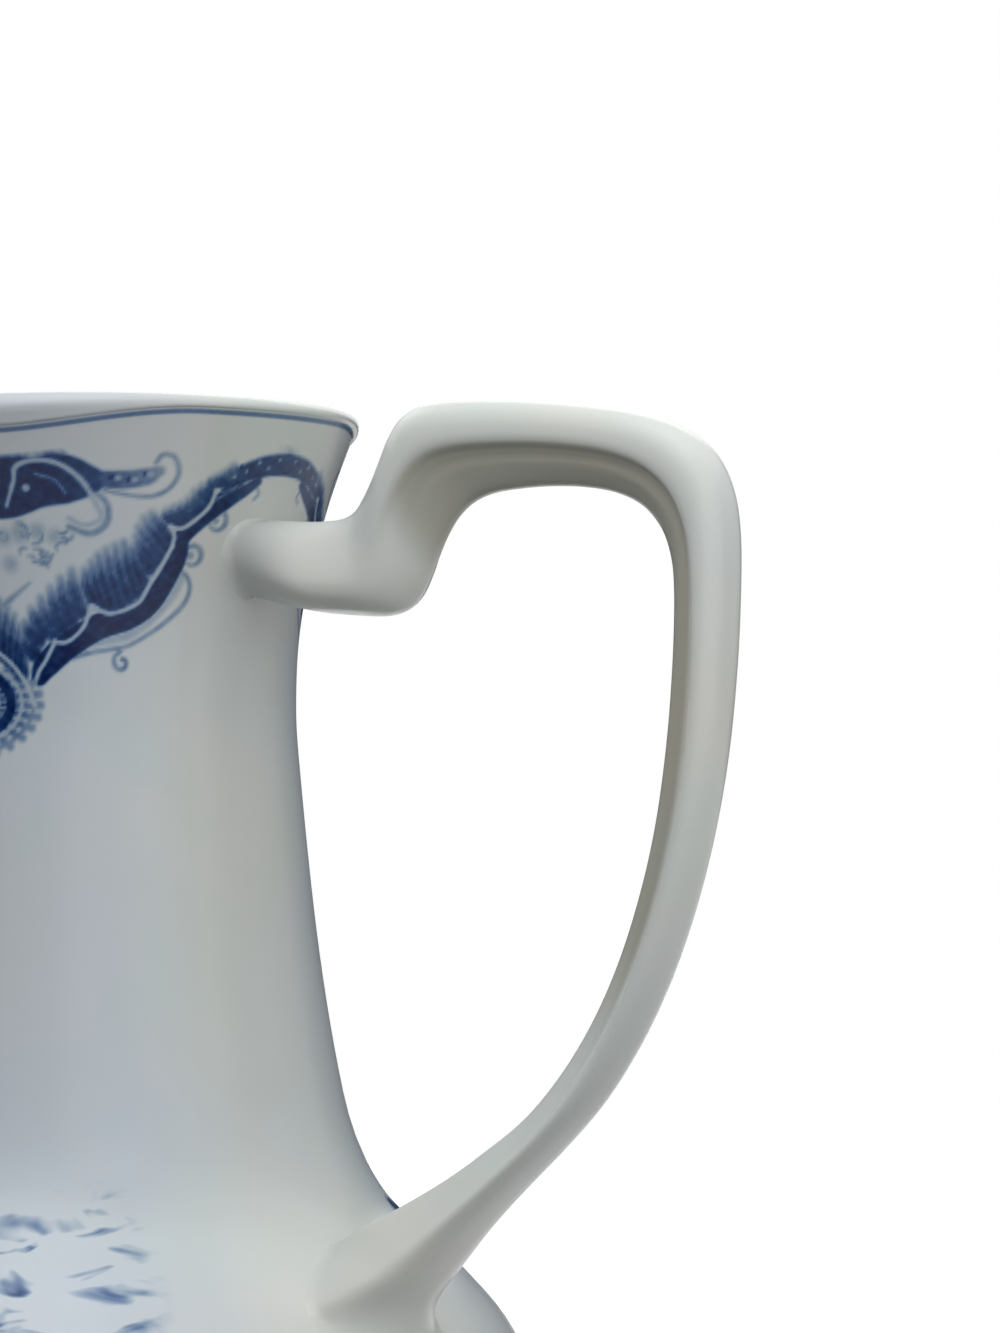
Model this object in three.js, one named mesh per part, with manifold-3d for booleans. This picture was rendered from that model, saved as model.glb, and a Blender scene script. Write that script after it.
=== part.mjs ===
// A glazed ceramic pitcher: a hollow cast body with a pouring lip, a foot ring and an angular handle.
// Sizes are in millimetres and +Z is up. While it is shaped, the body stands on the Z axis and the
// handle reaches along +X. At the end it all moves, so that the middle of its base is the origin.
import * as THREE from "three";
import { mergeVertices } from "three/addons/utils/BufferGeometryUtils.js";
import Module from "manifold-3d";

// The vessel's height, and the widths of its rim, neck, shoulder and belly.
const height = 281;
const rimRadius = 56.7;
const neckRadius = 42.9;
const shoulderRadius = 62.5;
const bellyRadius = 102;
const wall = 4.5;

// The levels of the widest part of the belly and of the shoulder, and the depth of the flared mouth.
const bellyHeight = 46;
const shoulderHeight = 111;
const mouthDepth = 63;

// The rolled lip, and the pouring lip on the side away from the handle.
const lipHeight = 4.5;
const lipOverhang = 1.4;
const spoutReach = 18;
const spoutRise = 6;
const spoutDepth = 51;
const spoutHalfAngle = 0.55;

// The foot ring, and how far the vessel's flat underside reaches past it.
const footRadius = 66;
const footWidth = 7;
const footHeight = 7;
const footRounding = 1.5;
const footLedge = 2;

// The handle. Reaches are counted from the vessel's axis, and depths downwards from its rim.
const handleReach = 173.6;
const handleTopDepth = 4.2;
const handleRootDepth = 35.5;
const rootInset = 6;
const riserFoot = 86.5;
const riserHead = 98;
const barSlope = 3.2;
const footBend = 7;
const headBend = 7;
const turnBend = 24;

// The run down from the handle's outer corner, and the arm that curves in from it to the shoulder.
const runLength = 29;
const runPull = 72;
const armReach = 29;
const armDrop = 5;
const armPull = 58;
const armSlope = 0.52;

// The tongue that lies on the vessel below the arm, in depths below the shoulder, with its lift.
const tongue = [
  [12, 3.2],
  [20, 1],
  [34, 0.6],
  [43, 0],
];

// The handle's thickness and depth at fractions of its length, from the neck to the belly.
const handleSizes = [
  [0, 18, 20],
  [0.06, 17.8, 17.5],
  [0.12, 20.5, 17],
  [0.19, 21.5, 16],
  [0.26, 17.2, 14.5],
  [0.32, 16, 14],
  [0.36, 16.6, 13.5],
  [0.42, 13.8, 13],
  [0.6, 11.2, 12],
  [0.78, 9.4, 11.5],
  [0.86, 10.6, 18],
  [0.92, 9, 34],
  [1, 4, 40],
];

// The fractions of the handle's length at the middle of its top bar and of its upright run.
const barPlace = 0.3;
const runPlace = 0.46;

// The gap left between pieces that touch, so that none overlaps its neighbour.
const gap = 0.3;

const profileSteps = 34;
const roundSegments = 60;
const handleSteps = 72;
const lipSteps = 6;

const wasm = await Module();
wasm.setup();

// Turns a three.js geometry into a manifold-3d solid.
function solidFrom(geometry) {
  const bare = geometry.clone();
  bare.deleteAttribute("normal");
  bare.deleteAttribute("uv");
  const merged = mergeVertices(bare, 1e-4);
  return new wasm.Manifold(
    new wasm.Mesh({
      numProp: 3,
      vertProperties: new Float32Array(merged.attributes.position.array),
      triVerts: new Uint32Array(merged.index.array),
    }),
  );
}

// Turns a manifold-3d solid back into a three.js geometry.
function geometryFrom(solid) {
  const mesh = solid.getMesh();
  const geometry = new THREE.BufferGeometry();
  geometry.setAttribute("position", new THREE.BufferAttribute(mesh.vertProperties, 3));
  geometry.setIndex(new THREE.BufferAttribute(mesh.triVerts, 1));
  geometry.computeVertexNormals();
  return geometry;
}

// Points between two ends of an outline, each at a share of the rise and a share of the way across.
function pointsBetween(low, high, shares) {
  return shares.map(
    ([rise, across]) =>
      new THREE.Vector2(
        THREE.MathUtils.lerp(low.x, high.x, across),
        THREE.MathUtils.lerp(low.y, high.y, rise),
      ),
  );
}

// The outer outline of the vessel from the foot to just under the lip, as radius and level.
function outerOutline() {
  const foot = new THREE.Vector2(footRadius + footLedge, footHeight + gap);
  const belly = new THREE.Vector2(bellyRadius, bellyHeight);
  const shoulder = new THREE.Vector2(shoulderRadius, shoulderHeight);
  const neck = new THREE.Vector2(neckRadius, height - mouthDepth);
  const rim = new THREE.Vector2(rimRadius - lipOverhang, height - lipHeight);
  const underBelly = [[0.38, 0.68]];
  const overBelly = [[0.28, 0.09], [0.55, 0.3], [0.72, 0.53], [0.86, 0.77]];
  const overShoulder = [[0.12, 0.34], [0.285, 0.556], [0.53, 0.765], [0.83, 0.94]];
  const mouth = [[0.34, 0.105], [0.72, 0.51]];
  const curve = new THREE.SplineCurve([
    foot,
    ...pointsBetween(foot, belly, underBelly),
    belly,
    ...pointsBetween(belly, shoulder, overBelly),
    shoulder,
    ...pointsBetween(shoulder, neck, overShoulder),
    neck,
    ...pointsBetween(neck, rim, mouth),
    rim,
  ]);
  return curve.getPoints(profileSteps);
}

// The vessel's outer radius at a level.
function vesselRadius(level) {
  const points = outerOutline();
  const above = Math.max(1, points.findIndex((point) => point.y >= level));
  const low = points[above - 1];
  const high = points[above];
  return THREE.MathUtils.mapLinear(level, low.y, high.y, low.x, high.x);
}

// An outline moved sideways by a distance: a positive one goes outwards from the vessel.
function shifted(points, distance) {
  return points.map((point, i) => {
    const before = points[Math.max(i - 1, 0)];
    const after = points[Math.min(i + 1, points.length - 1)];
    const along = after.clone().sub(before).normalize();
    return new THREE.Vector2(point.x + along.y * distance, point.y - along.x * distance);
  });
}

// Spins an outline round the Z axis.
function spun(outline) {
  return new THREE.LatheGeometry(outline, roundSegments).rotateX(Math.PI / 2);
}

// Draws the rim out and up on the side away from the handle, which makes the pouring lip.
function withSpout(geometry) {
  const position = geometry.attributes.position;
  for (let i = 0; i < position.count; i++) {
    const x = position.getX(i);
    const y = position.getY(i);
    const z = position.getZ(i);
    const radius = Math.hypot(x, y);
    const turn = Math.atan2(y, -x);
    const near = Math.exp(-((turn / spoutHalfAngle) ** 2));
    const pull = near * THREE.MathUtils.smoothstep(z, height - spoutDepth, height);
    const out = radius > wall ? 1 + (pull * spoutReach) / radius : 1;
    const up = (pull * pull * spoutRise) / Math.max(near, Number.EPSILON);
    position.setXYZ(i, x * out, y * out, z + up);
  }
  return geometry;
}

// The vessel: a wall of even thickness with a rolled lip, open at the top.
function bodySolid() {
  const outer = outerOutline();
  const inner = shifted(outer, -wall).reverse();
  const lipRadius = (wall + lipOverhang) / 2;
  const lip = new THREE.EllipseCurve(rimRadius - lipRadius, height - lipHeight, lipRadius, lipHeight, 0, Math.PI);
  const bottom = outer[0].y;
  const outline = [
    new THREE.Vector2(0, bottom),
    ...outer,
    ...lip.getPoints(lipSteps),
    ...inner.slice(1, -1),
    new THREE.Vector2(footRadius - wall, bottom + wall),
    new THREE.Vector2(0, bottom + wall),
  ];
  return solidFrom(withSpout(spun(outline)));
}

// The space that the vessel and its hollow take up, grown by the gap. The handle is cut back to it.
function vesselSpace() {
  const outer = shifted(outerOutline(), gap);
  const outline = [
    new THREE.Vector2(0, outer[0].y),
    ...outer,
    new THREE.Vector2(0, outer[outer.length - 1].y),
  ];
  return solidFrom(spun(outline));
}

// The foot ring: a plain ring with softened lower edges.
function footSolid() {
  const inside = footRadius - footWidth;
  const outline = [
    new THREE.Vector2(inside, footHeight),
    new THREE.Vector2(inside, footRounding),
    new THREE.Vector2(inside + footRounding, 0),
    new THREE.Vector2(footRadius - footRounding, 0),
    new THREE.Vector2(footRadius, footRounding),
    new THREE.Vector2(footRadius, footHeight),
    new THREE.Vector2(inside, footHeight),
  ];
  return solidFrom(spun(outline));
}

// The handle's thickness and depth at a fraction of its length.
function handleSize(along) {
  const next = Math.max(1, handleSizes.findIndex(([place]) => place >= along));
  const [from, thicknessA, depthA] = handleSizes[next - 1];
  const [to, thicknessB, depthB] = handleSizes[next];
  const blend = THREE.MathUtils.smoothstep(along, from, to);
  return [THREE.MathUtils.lerp(thicknessA, thicknessB, blend), THREE.MathUtils.lerp(depthA, depthB, blend)];
}

// A point on the way from one point to another, at most half way there.
function towards(from, to, distance) {
  return from.clone().lerp(to, Math.min(distance / from.distanceTo(to), 0.5));
}

// The middle line of the handle in its own plane: out of the neck, up the riser, along the top bar, down
// the run, in along the arm and down the vessel's side as a tongue.
function handlePath() {
  const bar = height - handleTopDepth - handleSize(barPlace)[0] / 2;
  const outer = handleReach - handleSize(runPlace)[0] / 2;
  const rootLevel = height - handleRootDepth;
  const root = new THREE.Vector2(vesselRadius(rootLevel) - rootInset, rootLevel);
  const foot = new THREE.Vector2(riserFoot, rootLevel);
  const head = new THREE.Vector2(riserHead, bar);
  const turn = new THREE.Vector2(outer, bar - barSlope);
  const runEnd = new THREE.Vector2(outer, turn.y - runLength);
  const landing = new THREE.Vector2(shoulderRadius + armReach, shoulderHeight - armDrop);
  const path = new THREE.Path();
  path.moveTo(root.x, root.y);
  const bends = [
    [root, foot, head, footBend],
    [foot, head, turn, headBend],
    [head, turn, runEnd, turnBend],
  ];
  for (const [before, corner, after, size] of bends) {
    const start = towards(corner, before, size);
    const end = towards(corner, after, size);
    path.lineTo(start.x, start.y);
    path.quadraticCurveTo(corner.x, corner.y, end.x, end.y);
  }
  path.lineTo(runEnd.x, runEnd.y);
  path.bezierCurveTo(
    runEnd.x,
    runEnd.y - runPull,
    landing.x + armPull * Math.cos(armSlope),
    landing.y + armPull * Math.sin(armSlope),
    landing.x,
    landing.y,
  );
  const lying = tongue.map(([depth, lift]) => {
    const level = shoulderHeight - depth;
    return new THREE.Vector2(vesselRadius(level) + lift, level);
  });
  path.splineThru(lying);
  return path;
}

// The handle's section in halves of its thickness and depth, with a ridge nearer its outer edge.
function handleSection() {
  const section = new THREE.Shape();
  section.moveTo(-1, -0.35);
  section.quadraticCurveTo(-0.35, -0.6, 0.25, -1);
  section.quadraticCurveTo(0.85, -0.9, 1, -0.25);
  section.quadraticCurveTo(1.04, 0, 1, 0.25);
  section.quadraticCurveTo(0.85, 0.9, 0.25, 1);
  section.quadraticCurveTo(-0.35, 0.6, -1, 0.35);
  section.quadraticCurveTo(-1.1, 0, -1, -0.35);
  return section;
}

// The handle: its section swept along the middle line and wrapped round the vessel's axis, so that the
// tongue lies on the round belly. Then it is cut back to the vessel.
function handleSolid() {
  const path = handlePath();
  const swept = new THREE.ExtrudeGeometry(handleSection(), {
    depth: 1,
    steps: handleSteps,
    bevelEnabled: false,
    curveSegments: 4,
  });
  const position = swept.attributes.position;
  for (let i = 0; i < position.count; i++) {
    const along = THREE.MathUtils.clamp(position.getZ(i), 0, 1);
    const middle = path.getPointAt(along);
    const tangent = path.getTangentAt(along);
    const [thickness, depth] = handleSize(along);
    const outward = (position.getX(i) * thickness) / 2;
    const side = (-position.getY(i) * depth) / 2;
    const reach = middle.x - tangent.y * outward;
    const turn = side / reach;
    position.setXYZ(i, reach * Math.cos(turn), reach * Math.sin(turn), middle.y + tangent.x * outward);
  }
  return solidFrom(swept).subtract(vesselSpace());
}

// Makes one named mesh of glazed ceramic.
function glazed(name, solid, color) {
  const material = new THREE.MeshStandardMaterial({ color, roughness: 0.16, metalness: 0 });
  const mesh = new THREE.Mesh(geometryFrom(solid), material);
  mesh.name = name;
  return mesh;
}

const pitcher = new THREE.Group();
pitcher.add(glazed("body", bodySolid(), 0xdfe3e1));
pitcher.add(glazed("foot_ring", footSolid(), 0xd6dad8));
pitcher.add(glazed("handle", handleSolid(), 0xdce0de));

// The origin is the middle of the bounding box, at the level that the pitcher stands on.
const bounds = new THREE.Box3().setFromObject(pitcher);
const centre = bounds.getCenter(new THREE.Vector3());
pitcher.position.set(-centre.x, -centre.y, -bounds.min.z);

export default pitcher;
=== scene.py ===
# %% [markdown]
# # A glazed earthenware pitcher
# The pitcher is a tall pouring jug: a round belly, a waisted neck, a pouring lip, a foot ring and a
# handle that was cast apart and luted on. This notebook models its surface in Blender, round a frame
# that holds the sizes. The frame says where each part is, so the script starts by loading it.

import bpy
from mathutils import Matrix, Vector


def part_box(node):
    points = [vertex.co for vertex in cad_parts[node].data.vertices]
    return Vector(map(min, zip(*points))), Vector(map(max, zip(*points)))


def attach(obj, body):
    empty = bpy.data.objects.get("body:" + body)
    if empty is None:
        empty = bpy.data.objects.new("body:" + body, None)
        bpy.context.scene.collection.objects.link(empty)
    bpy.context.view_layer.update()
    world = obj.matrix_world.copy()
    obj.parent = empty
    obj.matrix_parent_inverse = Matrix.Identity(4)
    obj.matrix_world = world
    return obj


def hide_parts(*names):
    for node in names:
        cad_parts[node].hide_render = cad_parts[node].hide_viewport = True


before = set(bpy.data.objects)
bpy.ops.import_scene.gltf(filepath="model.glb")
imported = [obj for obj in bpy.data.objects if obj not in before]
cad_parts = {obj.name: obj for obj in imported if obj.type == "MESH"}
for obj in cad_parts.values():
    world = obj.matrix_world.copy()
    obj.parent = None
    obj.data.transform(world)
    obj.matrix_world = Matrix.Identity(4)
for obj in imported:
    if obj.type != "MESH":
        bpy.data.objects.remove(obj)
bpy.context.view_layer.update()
print("frame nodes:", sorted(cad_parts))

# %% [markdown]
# ## Units and the axis
# A potter thinks in millimetres and Blender in metres, so every size below is a number of millimetres
# times MM. The vessel was turned round one upright axis. The foot ring is a full circle round it, so the
# middle of the foot ring's box gives the place of that axis.

# %% Units and the vessel's axis
import math

import bmesh
import bpy
import numpy as np
from mathutils import Vector

MM = 0.001
foot_low, foot_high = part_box("foot_ring")
AXIS = Vector(((foot_low.x + foot_high.x) / 2, 0, 0))
FOOT_RADIUS = (foot_high.x - foot_low.x) / 2 / MM
print("axis at x =", round(AXIS.x, 5), "foot radius", round(FOOT_RADIUS, 2), "mm")

# %% [markdown]
# ## Smooth lines
# The outline of the pot, the edges of its handle and the strokes of its print are all smooth lines
# through a few points. One helper lays such a line: each stretch is a cubic that leaves and arrives in
# the direction of the neighbouring knots, as a bent strip of wood would.


# %% Smooth lines and soft steps
def smooth_line(knots, steps):
    """Points of a smooth line through the knots, with so many steps between two knots."""
    knots = np.asarray(knots, float)
    slopes = np.gradient(knots, axis=0)
    share = np.arange(steps)[:, None] / steps
    blend = share * share * (3 - 2 * share)
    leave = share * (1 - share) ** 2
    arrive = share * share * (share - 1)
    line = [
        knots[i] * (1 - blend) + knots[i + 1] * blend + slopes[i] * leave + slopes[i + 1] * arrive
        for i in range(len(knots) - 1)
    ]
    return np.vstack(line + [knots[-1:]])


def smoothstep(low, high, value):
    """0 below low, 1 above high, and a soft S between them."""
    share = np.clip((value - low) / (high - low), 0, 1)
    return share * share * (3 - 2 * share)


print("a soft step half way:", float(smoothstep(0, 2, 1)))

# %% [markdown]
# ## The outline of the vessel
# A round pot is one outline spun round its axis, so the outline is the first thing to draw. Its main
# knots are the foot, the belly, the shoulder, the neck and the rim, each a radius and a level. The knots
# between two of them are given as shares of the rise and of the way across.

# %% Outline of the vessel
HEIGHT = 281
RIM_RADIUS = 56.3
NECK_RADIUS = 42.9
SHOULDER_RADIUS = 62.5
BELLY_RADIUS = 102
NECK_LEVEL = 218
SHOULDER_LEVEL = 111
BELLY_LEVEL = 46
UNDERSIDE = 7.3
WALL = 4.5
RIM_LEVEL = HEIGHT - 1.8


def between(low, high, shares):
    """Knots between two others, each at a share of the rise and a share of the way across."""
    widening, climb = high[0] - low[0], high[1] - low[1]
    return [(low[0] + widening * across, low[1] + climb * rise) for rise, across in shares]


foot_edge = (FOOT_RADIUS + 2, UNDERSIDE)
belly = (BELLY_RADIUS, BELLY_LEVEL)
shoulder = (SHOULDER_RADIUS, SHOULDER_LEVEL)
neck = (NECK_RADIUS, NECK_LEVEL)
rim = (RIM_RADIUS, RIM_LEVEL)
outline = smooth_line(
    [foot_edge, *between(foot_edge, belly, [(0.38, 0.68)]), belly]
    + [*between(belly, shoulder, [(0.28, 0.09), (0.55, 0.3), (0.72, 0.53), (0.86, 0.77)]), shoulder]
    + [*between(shoulder, neck, [(0.12, 0.34), (0.285, 0.556), (0.53, 0.765), (0.83, 0.94)]), neck]
    + [*between(neck, rim, [(0.32, 0.1), (0.69, 0.5)]), rim],
    steps=24,
)
outline_slope = np.gradient(outline[:, 0], outline[:, 1])


def radius_at(level):
    """The vessel's outer radius at a level."""
    return np.interp(level, outline[:, 1], outline[:, 0])


def slope_at(level):
    """How fast the outer radius grows with the level."""
    return np.interp(level, outline[:, 1], outline_slope)


def inner_point(level):
    """The point of the inner wall across from the outer wall at a level, as radius and level."""
    length = np.hypot(1, slope_at(level))
    return radius_at(level) - WALL / length, level + WALL * slope_at(level) / length


print("outline of", len(outline), "points, neck radius", round(float(radius_at(NECK_LEVEL)), 2), "mm")

# %% [markdown]
# ## The lip and the spout
# The rim isn't the same all the way round. Beside the handle its rounded lip is thin, and towards the
# sides it grows into a taller roll. Opposite the handle the rim is drawn out into a pouring lip. So the
# place of a vertex near the rim depends on its angle round the axis. The handle lies at angle 0.

# %% Lip and spout
LIP_THIN = 2.7
LIP_TALL = 6.9
LIP_GROWS = (math.radians(22), math.radians(70))
LIP_OVERHANG = 1.1
LIP_INSIDE = 5
SPOUT_REACH = 18
SPOUT_RISE = 6
SPOUT_DEPTH = 51
SPOUT_HALF_ANGLE = 0.55
RIM_ZONE = 248


def lip_height(angle):
    """How tall the rolled lip is at an angle from the handle, in radians."""
    return LIP_THIN + (LIP_TALL - LIP_THIN) * smoothstep(*LIP_GROWS, abs(angle))


def over_lip(angle, share):
    """Radius and level on the curve from the lip's lower edge over its top to the inner wall."""
    tall = lip_height(angle)
    low = HEIGHT - tall
    outside = float(radius_at(low))
    inside, inside_level = inner_point(HEIGHT - LIP_INSIDE)
    roll = LIP_OVERHANG * (0.5 + 0.5 * tall / LIP_TALL)
    line = smooth_line(
        [
            (outside, low),
            (outside + 0.85 * roll, low + 0.04 * tall),
            (outside + 1.2 * roll, low + 0.2 * tall),
            (RIM_RADIUS + 0.35 * roll, HEIGHT - 0.45 * tall),
            (RIM_RADIUS - 0.9, HEIGHT - 0.1 * tall),
            (RIM_RADIUS - WALL * 0.5, HEIGHT),
            (inside + 0.7, HEIGHT - 1),
            (inside, inside_level),
        ],
        8,
    )
    along = np.linspace(0, 1, len(line))
    return np.interp(share, along, line[:, 0]), np.interp(share, along, line[:, 1])


def stretch_rim(level, angle):
    """Moves a level near the rim so that the outer wall ends at the lip's lower edge."""
    if level <= RIM_ZONE:
        return level
    return RIM_ZONE + (level - RIM_ZONE) * (HEIGHT - lip_height(angle) - RIM_ZONE) / (RIM_LEVEL - RIM_ZONE)


def pull_spout(radius, level, angle):
    """Draws the rim out and up on the side away from the handle."""
    turn = math.pi - abs(angle)
    near = math.exp(-((turn / SPOUT_HALF_ANGLE) ** 2))
    pull = float(smoothstep(HEIGHT - SPOUT_DEPTH, HEIGHT, level))
    return radius + near * pull * SPOUT_REACH, level + near * pull * pull * SPOUT_RISE


print("lip height beside the handle and at the sides:", LIP_THIN, LIP_TALL, "mm")

# %% [markdown]
# ## Spinning the vessel
# The outline becomes a wall with an inside: up the outside, over the lip, down the inside and back to the
# axis. bmesh's spin operator turns this profile round the axis, as a lathe does. Each vertex keeps its
# place along the profile in a vertex layer, and subdividing fills that layer in between, so a later step
# can still tell outside from inside and put each vertex on the true curve.

# %% Rows of the profile
ROUND_STEPS = 144
BORDER_LOW, BORDER_HIGH = 203, 271
LINE_ROWS = [2.6, 1.9, 1.55, 1.2, 0.85, 0.5, 0.2, 0]
LIP_ROWS = 14
INNER_HIGH, INNER_LOW = HEIGHT - 7, 14


def levels(low, high, count):
    """Evenly spaced levels from low up to, but not including, high."""
    return list(np.linspace(low, high, count, endpoint=False))


outer_levels = (
    levels(UNDERSIDE, 60, 15)
    + levels(60, 118, 22)
    + levels(118, BORDER_LOW, 17)
    + levels(BORDER_LOW, BORDER_HIGH, 31)
    + levels(BORDER_HIGH, RIM_LEVEL - LINE_ROWS[0], 3)
)
profile = [("under", r) for r in (0, 20, 40, 56, 63)]
profile += [("outer", z) for z in outer_levels]
profile += [("below_lip", drop) for drop in LINE_ROWS]
profile += [("lip", (i + 1) / (LIP_ROWS + 1)) for i in range(LIP_ROWS)]
profile += [("inner", z) for z in np.linspace(INNER_HIGH, INNER_LOW, 30)]
profile += [("floor", r) for r in (54, 36, 16, 0)]
profile_kinds = [kind for kind, value in profile]
profile_values = np.array([value for kind, value in profile])
print(len(profile), "rows of", ROUND_STEPS, "vertices")


# %% Where a vertex of the profile lies
ROW_SLACK = 1e-4


def wall_point(row, angle):
    """Radius and level, in mm, of a place along the profile at an angle from the handle."""
    kind = profile_kinds[math.floor(row + ROW_SLACK)]
    value = float(np.interp(row, np.arange(len(profile)), profile_values))
    if kind in ("under", "floor"):
        return value, UNDERSIDE + (0 if kind == "under" else WALL)
    if kind == "lip":
        radius, level = over_lip(angle, value)
    elif kind == "below_lip":
        level = HEIGHT - lip_height(angle) - value
        radius = radius_at(level)
    elif kind == "inner":
        radius, level = inner_point(value)
    else:
        level = stretch_rim(value, angle)
        radius = radius_at(level)
    return pull_spout(float(radius), float(level), angle)


def to_place(radius, level, angle):
    """A point in metres from radius and level in mm and an angle from the handle."""
    return AXIS + Vector((radius * math.cos(angle), radius * math.sin(angle), level)) * MM


# %% Spin the profile
NEARLY_ZERO = 0.01 * MM


def spin_profile(bm, points, steps):
    """Spins a profile of (radius, level) points round the vessel's axis and keeps the row numbers."""
    rows = bm.verts.layers.float.new("row")
    line = [bm.verts.new(to_place(radius, level, 0)) for radius, level in points]
    for number, vertex in enumerate(line):
        vertex[rows] = number
    edges = [bm.edges.new(pair) for pair in zip(line, line[1:])]
    bmesh.ops.spin(
        bm,
        geom=line + edges,
        cent=AXIS,
        axis=(0, 0, 1),
        angle=math.tau,
        steps=steps,
        use_merge=True,
    )
    bmesh.ops.remove_doubles(bm, verts=bm.verts, dist=NEARLY_ZERO / 10)
    return rows


body_bm = bmesh.new()
row_layer = spin_profile(body_bm, [wall_point(row, 0) for row in range(len(profile))], ROUND_STEPS)
print("spun", len(body_bm.verts), "vertices")

# %% [markdown]
# ## Finer faces where the print goes
# The printed border will be held by the vertices, as a colour value on each, so the mesh has to be as fine
# as the strokes there, about half a millimetre. Only that band is subdivided, which keeps the rest light.
# The new vertices lie on flat facets at first, and the next step puts every one on the true curve.


# %% Subdivide the printed band and shape the wall
BORDER_CUTS = 3


def angle_of(point):
    """The angle of a point round the vessel's axis, 0 at the handle."""
    return math.atan2(point.y, point.x - AXIS.x)


first_outer = profile_kinds.index("outer")
border_rows = [
    first_outer + outer_levels.index(z) for z in outer_levels if BORDER_LOW <= z <= BORDER_HIGH
]
in_border = set(border_rows)
border_edges = {
    edge
    for face in body_bm.faces
    if all(round(vertex[row_layer]) in in_border for vertex in face.verts)
    for edge in face.edges
}
bmesh.ops.subdivide_edges(body_bm, edges=list(border_edges), cuts=BORDER_CUTS, use_grid_fill=True)
for vertex in body_bm.verts:
    if (vertex.co.xy - AXIS.xy).length > NEARLY_ZERO:
        angle = angle_of(vertex.co)
        vertex.co = to_place(*wall_point(vertex[row_layer], angle), angle)
bmesh.ops.recalc_face_normals(body_bm, faces=body_bm.faces)
print("vessel:", len(body_bm.verts), "vertices")


# %% Turn it into an object
def make_piece(bm, name, node):
    """Turns a bmesh into a smooth-shaded object that rides on the frame and stands for a node."""
    mesh = bpy.data.meshes.new(name)
    bm.to_mesh(mesh)
    bm.free()
    mesh.shade_smooth()
    piece = bpy.data.objects.new(name, mesh)
    bpy.context.scene.collection.objects.link(piece)
    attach(piece, "root")
    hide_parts(node)
    print(name, "has", len(mesh.vertices), "vertices and", len(mesh.polygons), "faces")
    return piece


body = make_piece(body_bm, "vessel", "body")

# %% [markdown]
# ## The foot ring
# The pitcher stands on a turned ring. Its outside flares into the belly, its inside is slightly
# undercut, and its edge is narrow and rounded, so that it doesn't rock. It is one more spun profile, a
# closed one this time, which leaves an open ring in the middle where the hollow underside shows.

# %% Foot ring
FOOT_WIDTH = 7
RING_STEPS = 192
ring_in = FOOT_RADIUS - FOOT_WIDTH
ring_line = smooth_line(
    [
        (ring_in + 0.2, UNDERSIDE - 0.1),
        (ring_in - 0.1, 5),
        (ring_in + 0.6, 2),
        (ring_in + 1.8, 0.35),
        (ring_in + 3.3, 0),
        (FOOT_RADIUS - 1.7, 0.25),
        (FOOT_RADIUS - 0.4, 1.5),
        (FOOT_RADIUS, 3.4),
        (FOOT_RADIUS + 0.4, 5.4),
        (FOOT_RADIUS + 2.1, UNDERSIDE - 0.05),
    ],
    5,
)
ring_bm = bmesh.new()
spin_profile(ring_bm, [*ring_line, *ring_line[:1]], RING_STEPS)
bmesh.ops.recalc_face_normals(ring_bm, faces=ring_bm.faces)
foot = make_piece(ring_bm, "foot", "foot_ring")

# %% [markdown]
# ## The handle's template
# A handle like this is drawn first as a template: its outer edge and its inner edge, both in the
# handle's middle plane. Here each row pairs a point of the outer edge with one of the inner edge, as
# reach from the axis and level, and adds the width across, the form of the section, and the size of the
# fillet to the vessel. The handle leaves the neck flat, climbs, runs out, turns down and sweeps back to
# the shoulder, where it spreads into a flat leaf.

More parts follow.
